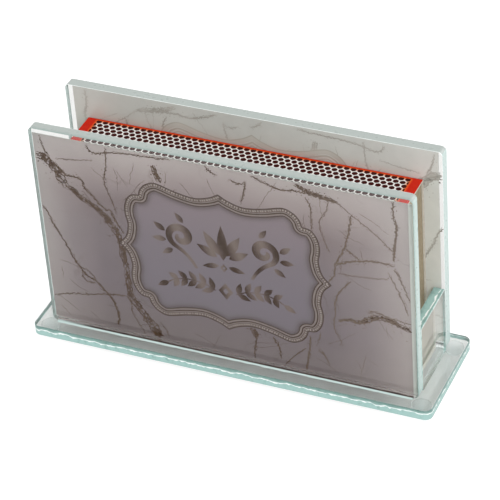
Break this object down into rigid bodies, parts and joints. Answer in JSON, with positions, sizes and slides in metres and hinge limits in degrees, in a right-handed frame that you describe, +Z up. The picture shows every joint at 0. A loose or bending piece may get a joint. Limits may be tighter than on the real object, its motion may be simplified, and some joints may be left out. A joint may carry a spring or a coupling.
{
  "type": "matchbox holder",
  "caption": "Glass matchbox holder: printed marble-look panels upright on a glass base with low end stops, holding a large box of long matches that lifts out.",
  "frame": {"origin": "middle of the holder on the surface it stands on, at the underside of its feet", "axes": "+X runs along the panels to the right as seen from the front, +Y to the back, +Z up"},
  "size_m": [0.1342, 0.0384, 0.0789],
  "materials": {
    "clear_glass": "polished faces, ground edges with a sea-green tint",
    "clear_adhesive": "clear cured adhesive",
    "printed_film": "pearl mauve film printed with grey-brown marble veins and a scalloped label frame",
    "clear_bumper": "clear soft bumper",
    "red_card": "printed card, semi-gloss",
    "striker": "dark brown dots of striking compound on white",
    "grey_card": "uncoated grey-tan board",
    "match_wood": "raw aspen",
    "match_head": "matt dipped compound"
  },
  "bodies": {
    "holder": {"base_plate": "clear_glass", "front_panel": "clear_glass", "back_panel": "clear_glass", "left_stop": "clear_glass", "right_stop": "clear_glass", "front_panel_glue": "clear_adhesive", "back_panel_glue": "clear_adhesive", "left_stop_glue": "clear_adhesive", "right_stop_glue": "clear_adhesive", "front_film": "printed_film", "back_film": "printed_film", "foot_front_left": "clear_bumper", "foot_front_right": "clear_bumper", "foot_back_left": "clear_bumper", "foot_back_right": "clear_bumper"},
    "matchbox": {"box_sleeve": "red_card", "striker_top": "striker", "striker_bottom": "striker"},
    "tray": {"tray_bottom": "grey_card", "tray_lower_side": "grey_card", "tray_upper_side": "grey_card", "tray_left_end": "grey_card", "tray_right_end": "grey_card", "match_sticks": "match_wood", "match_heads": "match_head"}
  },
  "joints": [
    {"name": "matchbox_lift", "type": "slide", "parent": "holder", "child": "matchbox", "axis": [0, 0, 1], "range_m": [0, 0.08]},
    {"name": "tray_slide", "type": "slide", "parent": "matchbox", "child": "tray", "axis": [1, 0, 0], "range_m": [-0.0025, 0.0025]}
  ]
}
